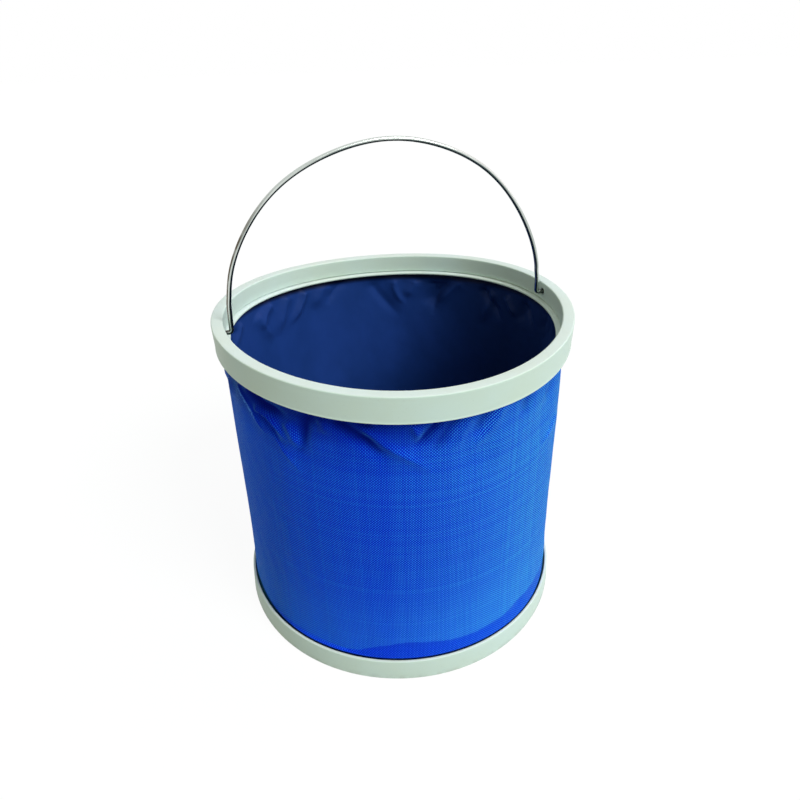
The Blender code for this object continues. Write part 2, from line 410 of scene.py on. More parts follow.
def cloth_material(name):
    """Blue oxford cloth: light and dark threads, painted light towards +X, soft sheen, and painted shade by
    the foot.
    """
    g = Graph(name)
    across, along = thread_counts(g)
    upright, level = weave(g, across, along)
    height = g.math("MAXIMUM", upright, level)
    row_tone = g.noise(g.join(g.math("FLOOR", across), 7.3), 0.9, 0.0)
    run_tone = g.noise(g.join(2.9, g.math("FLOOR", along)), 0.9, 0.0)
    tone = g.math("ADD", row_tone, run_tone)
    thread = g.thread()
    place = g.place()
    x, _, z = g.split(place)

    # Upright threads are paler than level ones, with a painted highlight on their crowns.
    # Both get painted light towards +X and downwards
    share = g.ramp(g.math("SUBTRACT", upright, level), -0.30, 0.30)
    crown_highlight = g.math("MULTIPLY_ADD", g.math("SUBTRACT", tone, 1.0), 0.25, g.ramp(upright, 0.35, 0.95))
    side_light = g.math("ADD", g.ramp(x, -0.045, 0.060, 0.0, 0.85), g.ramp(z, 0.080, 0.025, 0.0, 0.25))
    body = g.mix(share, (0.0, 0.001, 0.51), g.mix(side_light, (0.002, 0.012, 0.99), (0.003, 0.032, 1.0)))
    colour = g.mix(crown_highlight, body, g.mix(side_light, (0.022, 0.288, 1.0), (0.106, 0.810, 1.0)))

    # The threads stand out less low down and at the far -X side
    calm = g.math("MULTIPLY", g.ramp(z, 0.100, 0.040), g.ramp(x, 0.030, 0.080, 0.40, 0.20))
    calm = g.math("MAXIMUM", calm, g.ramp(x, -0.118, -0.100, 0.85, 0.0))
    colour = g.mix(calm, colour, g.mix(side_light, (0.007, 0.085, 0.97), (0.032, 0.290, 1.0)))
    cloud = g.noise(g.stretched(thread, (9, 14, 1)), 1.0, 4.0)
    colour = g.mix(g.ramp(cloud, 0.35, 0.70, 0.0, 0.16), colour, (0.006, 0.060, 0.75))
    # Painted shade below the bend over the foot
    colour = g.mix(g.attribute("wet"), colour, (0.35, 0.42, 0.93), "MULTIPLY")

    # Painted shade high up and a painted shadow under the rim, more so towards -X, and a painted shadow where
    # the cloth enters the foot
    shade_from = g.math("MULTIPLY_ADD", g.noise(place, 26.0, 3.0), 0.050, 0.145)
    high = g.ramp(g.math("SUBTRACT", z, shade_from), 0.0, 0.030, 0.0, 0.52)
    high = g.math("MULTIPLY", high, g.ramp(x, 0.02, -0.04, 0.25, 1.0))
    colour = g.mix(high, colour, (0.0005, 0.012, 0.45))
    rim_shadow = g.math("MULTIPLY", g.ramp(z, 0.188, 0.206, 0.0, 0.72), g.ramp(x, 0.030, -0.060, 0.12, 1.0))
    colour = g.mix(rim_shadow, colour, (0.0003, 0.006, 0.24))
    colour = g.mix(g.ramp(z, 0.0180, 0.0170, 0.0, 0.92), colour, (0.0, 0.001, 0.020))
    # Painted shade at the far -X side
    colour = g.mix(g.ramp(x, -0.094, -0.108), colour, (0.66, 0.72, 0.86), "MULTIPLY")

    # Painted shade in the creases' hollows and a painted highlight on their sharp crests,
    # by values kept at the wall's points
    crest = g.attribute("crest")
    crease_shade = g.ramp(g.attribute("crease"), -0.3, -3.0, 0.0, 0.80)
    colour = g.mix(crease_shade, colour, (0.0003, 0.006, 0.20))
    colour = g.mix(g.ramp(crest, 0.35, 0.95, 0.0, 0.90), colour, (0.110, 0.360, 1.0))
    fuzz = g.noise(place, 2600.0, 2.0)
    rough = g.ramp(g.math("MULTIPLY", share, fuzz), 0.1, 0.6, 0.60, 0.48)
    normal = g.bump(height, 0.00032, 0.8)
    normal = g.bump(fuzz, 0.00006, 0.35, normal)
    normal = g.bump(cloud, 0.0012, 0.35, normal)
    sheen = g.ramp(g.math("MAXIMUM", crease_shade, crest), 0.0, 0.6, 0.30, 0.0)
    g.set(Base_Color=colour, Roughness=rough, Normal=normal, IOR=1.5, Specular_IOR_Level=0.02)
    g.set(Sheen_Weight=sheen, Sheen_Roughness=0.35, Sheen_Tint=(0.20, 1.0, 1.0))
    return g.material


def lining_material(name):
    """The cloth's coated side: deep blue, smooth and a little glossy, with the weave showing through."""
    g = Graph(name)
    height = g.math("MAXIMUM", *weave(g, *thread_counts(g)))
    thread = g.thread()
    place = g.place()
    cloud = g.noise(g.stretched(thread, (16, 10, 1)), 1.0, 4.0)
    colour = g.mix(g.ramp(cloud, 0.35, 0.68), (0.0070, 0.032, 0.15), (0.0120, 0.048, 0.24))
    colour = g.mix(g.math("MULTIPLY", g.ramp(height, 0.2, 0.9), 0.35), colour, (0.012, 0.056, 0.30))
    # Painted shadow on the lining just under the ledge
    ledge_shadow = g.ramp(g.split(thread)[1], 0.2080, 0.2112, 0.0, 0.9)
    colour = g.mix(ledge_shadow, colour, (0.0003, 0.001, 0.010))
    # Painted shade on the +X side of the inside
    colour = g.mix(g.ramp(g.split(place)[0], 0.03, 0.11, 0.0, 0.55), colour, (0.0008, 0.003, 0.020))
    rough = g.ramp(cloud, 0.3, 0.7, 0.50, 0.62)
    normal = g.bump(height, 0.00010, 0.30)
    normal = g.bump(g.noise(place, 130.0, 3.0), 0.0006, 0.35, normal)
    normal = g.bump(cloud, 0.002, 0.25, normal)
    g.set(Base_Color=colour, Roughness=rough, Normal=normal, IOR=1.5, Specular_IOR_Level=0.12)
    return g.material


def thread_material(name):
    """Blue sewing thread, twisted."""
    g = Graph(name)
    bands = g.node("ShaderNodeTexWave", {"Vector": g.place(), "Scale": 900.0}, bands_direction="DIAGONAL")
    twist = bands.outputs[1]
    colour = g.mix(twist, (0.006, 0.045, 0.40), (0.02, 0.13, 0.80))
    g.set(Base_Color=colour, Roughness=0.6, Normal=g.bump(twist, 0.0001, 0.5), Sheen_Weight=0.2)
    return g.material


def steel_material(name):
    """Bright drawn wire: pale streaks, a painted dark reflection inside the bend, brown stains low at -X,
    dull hooks.
    """
    g = Graph(name)
    u, v = g.split(g.thread())[:2]
    place = g.place()
    # inside goes from 0 on the arch's outside to 1 on its inside
    turn = g.math("DIVIDE", v, 2 * pi * WIRE * MM)
    inside = g.math("MULTIPLY", g.math("ABSOLUTE", g.math("SUBTRACT", turn, 0.5)), 2.0)
    drawn = g.noise(g.join(g.math("MULTIPLY", u, 26.0), g.math("MULTIPLY", v, 2200.0)), 1.0, 3.0)
    wide = g.noise(g.join(g.math("MULTIPLY", u, 14.0), g.math("MULTIPLY", v, 300.0), 4.0), 1.0, 2.0)
    blotch = g.noise(place, 75.0, 4.0)
    wander = g.math("MULTIPLY_ADD", g.math("SUBTRACT", wide, 0.5), 0.40, inside)
    colour = g.mix(g.ramp(drawn, 0.35, 0.65), (0.38, 0.42, 0.39), (0.72, 0.77, 0.73))
    # The dark band inside the bend is a painted reflection of the dark bucket below the wire
    dark = g.math("MULTIPLY", g.ramp(wander, 0.50, 0.56, 0.0, 0.92), g.ramp(wander, 0.80, 0.74))
    colour = g.mix(dark, colour, (0.035, 0.062, 0.066))
    x, _, z = g.split(place)
    rust = g.math("MULTIPLY", g.ramp(x, -0.02, -0.09), g.ramp(z, 0.330, 0.290))
    rust = g.math("MULTIPLY", rust, g.ramp(blotch, 0.34, 0.50, 0.35, 0.95))
    brown = g.math("MULTIPLY", g.ramp(wander, 0.40, 0.32), rust)
    colour = g.mix(brown, colour, (0.085, 0.065, 0.038))
    from_middle = g.math("ABSOLUTE", g.math("SUBTRACT", x, RIM_SHIFT * MM))
    hook = g.ramp(from_middle, 0.1174, 0.1190, 0.0, 0.75)
    colour = g.mix(hook, colour, (0.020, 0.024, 0.024))
    rough = g.ramp(blotch, 0.35, 0.70, 0.18, 0.38)
    normal = g.bump(drawn, 0.00005, 0.6)
    g.set(Base_Color=colour, Roughness=rough, Metallic=1.0, Normal=normal)
    return g.material


# Moulded rings


def make_rim(material):
    """The rim's channel, with its rounded edges, its lip and the bead that pinches the hem."""
    skirt = RIM_RADIUS - 1.3
    corners = [
        (RIM_INNER, RIM_INNER_BOTTOM + JOINT_SLOT, 0.25),
        (RIM_INNER, BUCKET_HEIGHT, 1.1),
        (RIM_RADIUS, BUCKET_HEIGHT, 0.9),
        (skirt, RIM_BOTTOM + 1.1, 0.25),
        (skirt + 0.16, RIM_BOTTOM + 0.75, 0.1),
        (skirt + 0.16, RIM_BOTTOM, 0.15),
        (skirt - 1.8, RIM_BOTTOM, 0.3),
        (skirt - 2.8, RIM_BOTTOM + 2.0, 0.3),
        (skirt - 2.8, RIM_BOTTOM + 5.0, 0.3),
        (skirt - 1.8, RIM_BOTTOM + 6.0, 0.3),
        (RIM_RADIUS - 2.1, BUCKET_HEIGHT - RIM_PLATE, 0.8),
        (RIM_INNER_OUTER, BUCKET_HEIGHT - RIM_PLATE, 0.4),
        (RIM_INNER_OUTER, RIM_INNER_BOTTOM + JOINT_SLOT, 0.25),
    ]
    rim = lathe("rim_moulding", rounded(corners), material, warped=True)
    rods = []
    for side in (-1, 1):
        stations = [
            (side * (RIM_INNER - 1.0), HOLE_RADIUS + HOLE_CHAMFER),
            (side * (RIM_INNER + 0.25), HOLE_RADIUS),
            (side * (RIM_INNER_OUTER + 1.0), HOLE_RADIUS),
        ]
        rods.append(stations if side > 0 else stations[::-1])
    boolean(rim, rod_tool("bail_holes", rods), "DIFFERENCE")
    low = RIM_INNER_BOTTOM + float(rim_lift(radians(KEY_BEARING)))
    boxes = key_boxes(RIM_INNER - 1, RIM_INNER_OUTER + 1, NOTCH_HALF_WIDTH, low - 1, low + NOTCH_RISE)
    boolean(rim, box_tool("key_notches", boxes), "DIFFERENCE")
    return rim


def make_ledge(material):
    """The clamp ring: its rounded ledge shows inside, its leg stands in the rim's channel."""
    corners = [
        (LEDGE_INNER, LEDGE_BOTTOM, 0.95),
        (LEDGE_INNER, LEDGE_TOP, 0.95),
        (CLAMP_LEG_INNER, LEDGE_TOP, 0.1),
        (CLAMP_LEG_INNER, CLOTH_TOP, 0.2),
        (CLAMP_LEG_OUTER, CLOTH_TOP, 0.2),
        (CLAMP_LEG_OUTER, LEDGE_BOTTOM, 0.3),
    ]
    ledge = lathe("rim_clamp_ledge", rounded(corners), material, warped=True)
    top = LEDGE_TOP + float(rim_lift(radians(KEY_BEARING)))
    boxes = key_boxes(RIM_INNER + 0.35, RIM_INNER_OUTER + 0.8, KEY_HALF_WIDTH, top - 1, top + KEY_RISE)
    boolean(ledge, box_tool("clamp_keys", boxes), "UNION")
    return ledge


def make_foot(material):
    """The ring that the bucket stands on: a wall round the cloth and a flange under it."""
    corners = [
        (FOOT_OPENING, 0.0, 0.3),
        (FOOT_RADIUS, 0.0, 0.9),
        (FOOT_LIP_RADIUS, FOOT_LIP, 1.0),
        (FOOT_WALL_INNER, FOOT_LIP, 0.35),
        (FOOT_WALL_INNER, FOOT_FLANGE, 0.5),
        (FOOT_OPENING, FOOT_FLANGE, 0.3),
    ]
    return lathe("foot_moulding", rounded(corners), material)


def make_foot_clamp(material):
    """The ring inside the foot, which pinches the side cloth and the floor cloth."""
    corners = [
        (FOOT_CLAMP_INNER, FOOT_CLAMP_BOTTOM, 0.3),
        (FOOT_CLAMP_OUTER, FOOT_CLAMP_BOTTOM, 0.2),
        (FOOT_CLAMP_OUTER, FOOT_CLAMP_TOP, 0.4),
        (FOOT_CLAMP_LEG_INNER, FOOT_CLAMP_TOP, 0.4),
        (FOOT_CLAMP_LEG_INNER, FOOT_CLAMP_FLANGE_TOP, 0.7),
        (FOOT_CLAMP_INNER, FOOT_CLAMP_FLANGE_TOP, 0.5),
    ]
    return lathe("foot_clamp_ring", rounded(corners), material)


# Side cloth

MEAN_RADIUS = 122.5
CLOTH_BOTTOM = 2.4

# The seam runs up the back, out of the photo's sight. The cloth's end lies on its start there
SEAM_BEARING = 160.33
SEAM_LAP = 9.0
LAP_RISE = 0.55

# The wall's outer radius at each height, from the foot's inside up to the hem in the rim
WALL = [
    (CLOTH_BOTTOM, 120.25), (10.0, 120.25), (13.4, 120.1), (15.5, 119.3), (18.0, 118.9), (22.0, 119.1),
    (28.6, 119.75), (29.6, 119.8), (34.0, 119.65), (45.0, 119.5), (60.0, 119.6), (80.0, 120.0),
    (100.0, 120.6), (118.0, 121.2), (142.0, 122.0), (158.0, 122.5), (177.0, 122.9), (190.0, 123.15),
    (200.0, 123.4), (207.0, 123.7), (211.0, 123.9), (213.2, 124.6), (214.5, 125.1), (220.0, 125.1),
]

# The height of WALL's bend over the foot, and the bend's own height at each bearing. Below it the cloth
# carries painted shade, and in front it flares out over the ring's lip
BEND = 29.0
BEND_LINE = [
    (-180, 21.0), (-150, 21.0), (-131, 20.0), (-125, 19.0), (-119, 22.5), (-113, 27.1), (-105, 30.8),
    (-97, 29.9), (-90, 27.2), (-80, 26.3), (-70, 27.4), (-60, 30.2), (-48, 30.6), (-20, 29.0), (25, 26.0),
    (70, 29.5), (110, 25.0), (145, 27.0), (180, 21.0),
]
FLARE = 2.2

# Creases: points of (bearing in degrees, height), depth (+ stands out), width, and how sharp, from 0 to 1
CREASES = [
    ([(-162, 210), (-158, 203), (-156, 200), (-153, 195), (-152, 190), (-150, 185), (-147, 180)],
     2.6, 2.0, 1.0),
    ([(-146, 186), (-143, 179), (-140, 172), (-137, 166), (-134, 159)], 0.8, 2.0, 0.5),
    ([(-156, 212), (-151, 206), (-147, 203), (-142, 202), (-137, 202)], -3.6, 3.8, 0.3),
    ([(-153, 199), (-149, 198), (-146, 197), (-144, 194), (-142, 190), (-140, 185), (-138, 180)],
     2.8, 2.7, 0.6),
    ([(-152, 196), (-148, 192), (-145, 187), (-143, 181), (-140, 175)], -2.0, 3.0, 0.4),
    ([(-139, 199), (-138, 194), (-137, 189), (-136, 183), (-137, 178)], 2.6, 4.0, 0.2),
    ([(-130, 213), (-130, 208), (-132, 203), (-133, 196), (-134, 188), (-135, 180), (-139, 172)],
     -2.8, 4.6, 0.2),
    ([(-127, 208), (-126, 202), (-126, 195)], 1.6, 3.6, 0.4),
    ([(-124, 210), (-121, 204), (-119, 200), (-117, 197), (-114, 194), (-111, 188), (-106, 181)],
     -3.4, 5.0, 0.3),
    ([(-117, 212), (-115, 207), (-111, 203)], -3.2, 3.6, 0.3),
    ([(-111, 207), (-114, 201), (-112, 197), (-110, 193), (-107, 189), (-104, 185), (-101, 180),
      (-97, 173), (-94, 164)], 2.0, 3.6, 0.5),
    ([(-104, 211), (-101, 205), (-100, 199), (-99, 191)], 2.2, 2.6, 0.5),
    ([(-93, 210), (-95, 202), (-98, 195), (-100, 191), (-102, 186)], -3.2, 3.6, 0.4),
    ([(-87, 210), (-90, 202), (-92, 196), (-94, 190), (-96, 180)], -2.2, 4.6, 0.3),
    ([(-84, 208), (-86, 200), (-88, 190), (-90, 181)], 1.3, 3.8, 0.5),
    ([(-77, 210), (-79, 203), (-81, 195), (-83, 186)], -1.9, 5.4, 0.1),
    ([(-72, 212), (-75, 203), (-77, 196), (-81, 187), (-86, 176)], 1.7, 4.2, 0.4),
    ([(-61, 210), (-63, 200), (-66, 190)], -1.5, 6.0, 0.1),
    ([(-52, 210), (-53, 200), (-56, 188)], 1.2, 5.0, 0.2),
    ([(-46, 208), (-48, 196), (-52, 184)], -1.0, 5.6, 0.1),
    ([(-41, 170), (-44, 164), (-48, 160), (-51, 157), (-54, 153)], 1.8, 2.2, 0.9),
    ([(183, 213), (187, 205), (190, 196)], -3.0, 9.0, 0.2),
]


def more_creases(seed):
    """Creases of the same kind for the back and the right side, which the photo hardly shows."""
    random = np.random.default_rng(seed)
    found = []
    bearing = -34.0
    while bearing < 188:
        lean = random.choice((-1, 1)) * random.uniform(0.15, 0.45)
        top = random.uniform(205, 212)
        drop = random.uniform(16, 44)
        bend = random.uniform(-2.5, 2.5)
        points = []
        for k in range(4):
            t = k / 3
            points.append((bearing + lean * drop * t + bend * sin(pi * t), top - drop * t))
        depth = random.choice((-1, 1)) * random.uniform(1.6, 3.6) * np.interp(bearing, [-34, 0], [0.4, 1.0])
        found.append((points, depth, random.uniform(3.2, 6.5), random.uniform(0.2, 0.9)))
        bearing += random.uniform(5.5, 11.0)
    return found


def smooth_step(x):
    x = np.clip(x, 0, 1)
    return x * x * (3 - 2 * x)


def crease_offset(bearing, height):
    """How far the creases push the cloth out (+) or in (-), in millimetres, and how near a sharp crest is."""
    total = np.zeros_like(bearing)
    crest = np.zeros_like(bearing)
    for points, depth, width, sharp in CREASES + more_creases(11):
        line = np.array(points, float)
        nearest = np.full(bearing.shape, 1e9)
        at = np.zeros_like(bearing)
        lengths = np.hypot(np.diff(np.radians(line[:, 0])) * MEAN_RADIUS, np.diff(line[:, 1]))
        so_far = np.concatenate([[0], np.cumsum(lengths)])
        for k in range(len(line) - 1):
            a, b = line[k], line[k + 1]
            x = np.radians((bearing - a[0] + 180) % 360 - 180) * MEAN_RADIUS
            y = height - a[1]
            dx, dy = np.radians(b[0] - a[0]) * MEAN_RADIUS, b[1] - a[1]
            share = np.clip((x * dx + y * dy) / (dx * dx + dy * dy), 0, 1)
            gap = np.hypot(x - share * dx, y - share * dy)
            closer = gap < nearest
            nearest = np.where(closer, gap, nearest)
            at = np.where(closer, so_far[k] + share * lengths[k], at)
        run = at / so_far[-1]
        taper = smooth_step(run / 0.16) * smooth_step((1 - run) / 0.45)
        round_form = np.exp(-((nearest / width) ** 2))
        sharp_form = np.exp(-np.sqrt((nearest / width) ** 2 * 2.2 + 0.02) + sqrt(0.02))
        total += depth * taper * (sharp * sharp_form + (1 - sharp) * round_form)
        if depth > 0:
            crest = np.maximum(crest, sharp * sharp * taper * np.exp(-((nearest / 0.8) ** 2)))
    return total, crest


def waves(bearing, height, seed, count, low, high, tilt):
    """Smooth random swells: a sum of sines round the wall, which close on themselves."""
    random = np.random.default_rng(seed)
    total = np.zeros_like(bearing)
    for _ in range(count):
        around = random.integers(low, high + 1)
        slope = random.uniform(-tilt, tilt)
        phase = random.uniform(0, 2 * pi)
        total += np.sin(np.radians(bearing) * around + slope * height + phase) / sqrt(around)
    return total * sqrt(low / count)


def wall_lift(bearing, height):
    """How far the warped rim lifts the wall at a height of the flat bucket."""
    share = np.clip((height - 2 * BEND) / (RIM_BOTTOM - 2 * BEND), 0, 1)
    return share * rim_lift(np.radians(bearing))


def bend_height(bearing):
    around, heights = np.array(BEND_LINE).T
    return np.interp((bearing + 180) % 360 - 180, around, heights)


def bend_shade_share(bearing, height):
    """Painted shade: 1 below the bend and 0 above it, with a sharp edge in front, softer and fainter
    elsewhere.
    """
    from_front = np.abs((bearing + 180) % 360 - 180 + 75)
    soft = np.interp(from_front, [48, 58], [0.45, 4.5])
    wander = 0.35 * waves(bearing, height, 51, 9, 20, 60, 0.4)
    share = smooth_step((bend_height(bearing) + wander - height) / soft + 0.5)
    return share * np.interp(from_front, [48, 58], [1.0, 0.85])


def profile(bearing, height):
    """The wall's radius without creases, smoothed over a reach that is short at the foot and the rim."""
    heights, radii = np.array(WALL).T
    bend = bend_height(bearing)
    near_bend = smooth_step((height - FOOT_TOP) / 6) * smooth_step((60 - height) / 25)
    reach = np.interp(height, [FOOT_TOP, 33.0, 60.0, 192.0, 207.0], [0.5, 0.9, 8.0, 8.0, 1.6])
    total = 0
    for share in (-1, -0.6, -0.2, 0.2, 0.6, 1):
        total = total + np.interp(height - near_bend * (bend - BEND) + share * reach, heights, radii)
    front = smooth_step((75 - np.abs((bearing + 180) % 360 - 80)) / 40)
    above = height - FOOT_TOP
    low = smooth_step((above + 0.2) / 1.2) * (1 - smooth_step((above - 1) / (bend - FOOT_TOP)))
    return total / 6 + FLARE * front * low


def wall_radius(bearing, height):
    """The wall's outer radius, how much of it is relief, and its creases' depth and crests for the colour."""
    free = smooth_step((height - 17) / 14) * smooth_step((RIM_BOTTOM + 0.6 - height) / 6)
    upper = smooth_step((height - 150) / 40)
    swell = 0.40 * waves(bearing, height, 5, 7, 2, 6, 0.02)
    pucker = 0.80 * upper * waves(bearing, height, 8, 9, 9, 24, 0.07)
    ripple = 0.12 * waves(bearing, height, 21, 12, 20, 48, 0.25)
    gather = 0.30 * smooth_step((60 - height) / 35) * waves(bearing, height, 17, 8, 14, 34, 0.03)
    creases, crest = crease_offset(bearing, height + wall_lift(bearing, height))
    # At the left edge the photo's cloth is nearly straight under the rim
    calm_edge = 1 - 0.75 * np.exp(-(((bearing % 360 - 181) / 9) ** 2))
    relief = free * calm_edge * (swell + pucker + ripple + gather + creases)
    return profile(bearing, height) + relief, relief, creases, crest


def wall_point(radius, bearing, height):
    """A point of the wall, moved up and across with the warped and leaning rim."""
    lean = np.clip((height - FOOT_TOP) / (RIM_BOTTOM - FOOT_TOP), 0, 1) * RIM_SHIFT
    turn = np.radians(bearing)
    return radius * np.cos(turn) + lean, radius * np.sin(turn), height + wall_lift(bearing, height)


def point_values(piece, name, values):
    """Keeps one number for each of a mesh's points."""
    layer = piece.data.attributes.new(name, "FLOAT", "POINT")
    layer.data.foreach_set("value", np.asarray(values, np.float32).ravel())


# How far a point has sunk, in metres, when its creases are gone
FLAT_AFTER = 0.060


def flattening_nodes():
    """Moves each point in by its relief once it has sunk below its place at rest. At rest nothing moves."""
    name = "flatten_when_folded"
    if name in bpy.data.node_groups:
        return bpy.data.node_groups[name]
    tree = bpy.data.node_groups.new(name, "GeometryNodeTree")
    for direction in ("INPUT", "OUTPUT"):
        tree.interface.new_socket(name="Geometry", in_out=direction, socket_type="NodeSocketGeometry")

    def node(kind, *inputs, **settings):
        made = tree.nodes.new(kind)
        for key, value in settings.items():
            setattr(made, key, value)
        for socket, value in zip(made.inputs, inputs):
            if isinstance(value, bpy.types.NodeSocket):
                tree.links.new(value, socket)
            elif value is not None:
                socket.default_value = value
        return made

    x, y, z = node("ShaderNodeSeparateXYZ", node("GeometryNodeInputPosition").outputs[0]).outputs
    rest, relief = (
        node("GeometryNodeInputNamedAttribute", label, data_type="FLOAT").outputs[0]
        for label in ("rest_height", "relief")
    )
    sunk = node("ShaderNodeMath", rest, z, operation="SUBTRACT").outputs[0]
    share = node("ShaderNodeMapRange", sunk, 0.0, FLAT_AFTER, 0.0, -1.0, interpolation_type="SMOOTHSTEP")
    amount = node("ShaderNodeMath", share.outputs[0], relief, operation="MULTIPLY").outputs[0]
    level = node("ShaderNodeCombineXYZ", x, y, 0.0).outputs[0]
    outward = node("ShaderNodeVectorMath", level, operation="NORMALIZE").outputs[0]
    move = node("ShaderNodeVectorMath", outward, operation="SCALE")
    tree.links.new(amount, move.inputs["Scale"])
    start = tree.nodes.new("NodeGroupInput").outputs[0]
    moved = node("GeometryNodeSetPosition", start, None, None, move.outputs[0])
    node("NodeGroupOutput", moved.outputs[0])
    return tree


def flatten_when_folded(piece, relief):
    """As the bucket folds, its creases flatten, so that the layers of the fold lie one inside the other."""
    height = np.array([vertex.co.z for vertex in piece.data.vertices])
    point_values(piece, "rest_height", height)
    point_values(piece, "relief", relief * MM)
    piece.modifiers.new("fold", "NODES").node_group = flattening_nodes()


def build_side_cloth(outside, inside):
    """One cloth tube, lapped at its seam, from the clamp in the foot up to the hem in the rim."""
    around = 720
    # Ranges of height with the rows' spacing in them, finer where the cloth bends or creases
    steps = [(CLOTH_BOTTOM, 15.7, 1.33), (15.7, 18.5, 0.35), (18.5, 36, 0.7), (36, 150, 3.0)]
    steps.append((150, RIM_BOTTOM, 1.0))
    heights = np.concatenate([np.arange(*step) for step in steps] + [np.linspace(RIM_BOTTOM, CLOTH_TOP, 7)])
    rows = len(heights)
    bearing = SEAM_BEARING + np.arange(around + 1) * 360 / around
    grid_b, grid_z = np.meshgrid(bearing, heights, indexing="ij")
    lap = np.radians(grid_b - SEAM_BEARING) * MEAN_RADIUS
    raised = smooth_step((SEAM_LAP - lap) / 0.9)
    free = smooth_step((grid_z - 14) / 6) * smooth_step((RIM_BOTTOM + 2 - grid_z) / 5)
    radius, relief, creases, crest = wall_radius(grid_b, grid_z)
    x, y, z = wall_point(radius + LAP_RISE * raised * free, grid_b, grid_z)
    points = np.stack([x[:-1], y[:-1], z[:-1]], axis=2).reshape(-1, 3)
    faces, uv = [], []
    for i in range(around):
        here, there = i * rows, (i + 1) % around * rows
        for j in range(rows - 1):
            faces.append((here + j, there + j, there + j + 1, here + j + 1))
            for a, b in ((i, j), (i + 1, j), (i + 1, j + 1), (i, j + 1)):
                uv.append((lap[a, b] * MM, grid_z[a, b] * MM))
    cloth = mesh_object("side_cloth", points, faces, (outside, inside), sharp=None, uv=uv)
    for label, values in (("crease", creases), ("crest", crest), ("wet", bend_shade_share(grid_b, grid_z))):
        point_values(cloth, label, values[:-1])
    flatten_when_folded(cloth, relief[:-1])
    thicken(cloth)
    return cloth


def seam_stitching(material):
    """Two rows of stitches down the seam's lap, each a short thread that dips into the cloth at its ends."""
    sides, parts = 6, 7
    length, gap, thread, inset = 2.9, 0.5, 0.24, 2.2
    starts = np.arange(19.0, 210.0, length + gap)
    share = np.arange(parts) / (parts - 1)
    swell = np.sin(pi * share)
    around = 2 * pi * np.arange(sides) / sides
    points, faces, reliefs = [], [], []
    for column in (inset, SEAM_LAP - inset):
        height = starts[:, None] + share * length
        bearing = np.full(height.shape, SEAM_BEARING + np.degrees(column / MEAN_RADIUS))
        radius, relief = wall_radius(bearing, height)[:2]
        radius = radius + 0.50 + 0.30 * swell
        reliefs.append(np.repeat(relief.ravel(), sides))
        size = (thread * (0.55 + 0.45 * swell))[None, :, None]
        out = radius[:, :, None] + size * np.cos(around)
        turn = bearing[:, :, None] + np.degrees(size * np.sin(around) / out)
        x, y, z = wall_point(out, turn, np.broadcast_to(height[:, :, None], out.shape))
        first = len(points)
        points += list(np.stack([x, y, z], axis=3).reshape(-1, 3))
        for stitch in range(first, len(points), parts * sides):
            faces += tube_faces(stitch, parts, sides)
    stitches = mesh_object("seam_stitching", points, faces, [material], sharp=None)
    flatten_when_folded(stitches, np.concatenate(reliefs))
    return stitches


# Floor cloth


def make_floor_cloth(outside, inside):
    """The bottom's disc: held flat at its edge, a little slack in the middle."""
    rings, around, radius, top = 44, 180, 119.3, 2.8
    points, faces, uv = [(0.0, 0.0, 0.0)], [], []
    for i in range(1, rings + 1):
        r = radius * i / rings
        for k in range(around):
            a = 2 * pi * k / around
            points.append((r * cos(a), r * sin(a), 0.0))
    points = np.array(points)
    r = np.hypot(points[:, 0], points[:, 1])
    bearing = np.degrees(np.arctan2(points[:, 1], points[:, 0]))
    free = smooth_step((110.0 - r) / 30)
    swell = waves(bearing, r, 31, 8, 2, 7, 0.03) * smooth_step(r / 50)
    pucker = waves(bearing, r, 37, 8, 12, 26, 0.02) * smooth_step((r - 60) / 40)
    points[:, 2] = top + free * (0.55 + 0.30 * swell + 0.22 * pucker)
    for k in range(around):
        n = (k + 1) % around
        faces.append((0, 1 + k, 1 + n))
        for i in range(rings - 1):
            low, high = 1 + i * around, 1 + (i + 1) * around
            faces.append((low + k, high + k, high + n, low + n))
    for face in faces:
        uv += [(points[v][0] * MM, points[v][1] * MM) for v in face]
    disc = mesh_object("floor_cloth_disc", points, faces, (inside, outside), sharp=None, uv=uv)
    thicken(disc)
    return disc


# Bail


def arc(centre, radius, start, end, steps):
    """Points on an arc from one angle to another, in degrees."""
    angles = np.radians(np.linspace(start, end, steps + 1))
    return [(centre[0] + radius * cos(a), centre[1] + radius * sin(a)) for a in angles]


def bail_line():
    """The wire's centre line as (x, height above the pivot), from the hook's tip at +X to the one at -X."""
    half = [(HOOK_X, -HOOK_DROP), (HOOK_X, -HOOK_DROP + 0.8)]
    half += arc((HOOK_X - WIRE_BEND, -WIRE_BEND), WIRE_BEND, 0, 90, 8)
    half += arc((LEG_X + WIRE_BEND, WIRE_BEND), WIRE_BEND, -90, -180, 8)
    half += [(LEG_X, 4.0), (LEG_X, 6.3)]
    half += arc((0, LEG_RISE), LEG_X, 0, 90, 90)
    return np.array(half + [(-x, z) for x, z in reversed(half[:-1])])


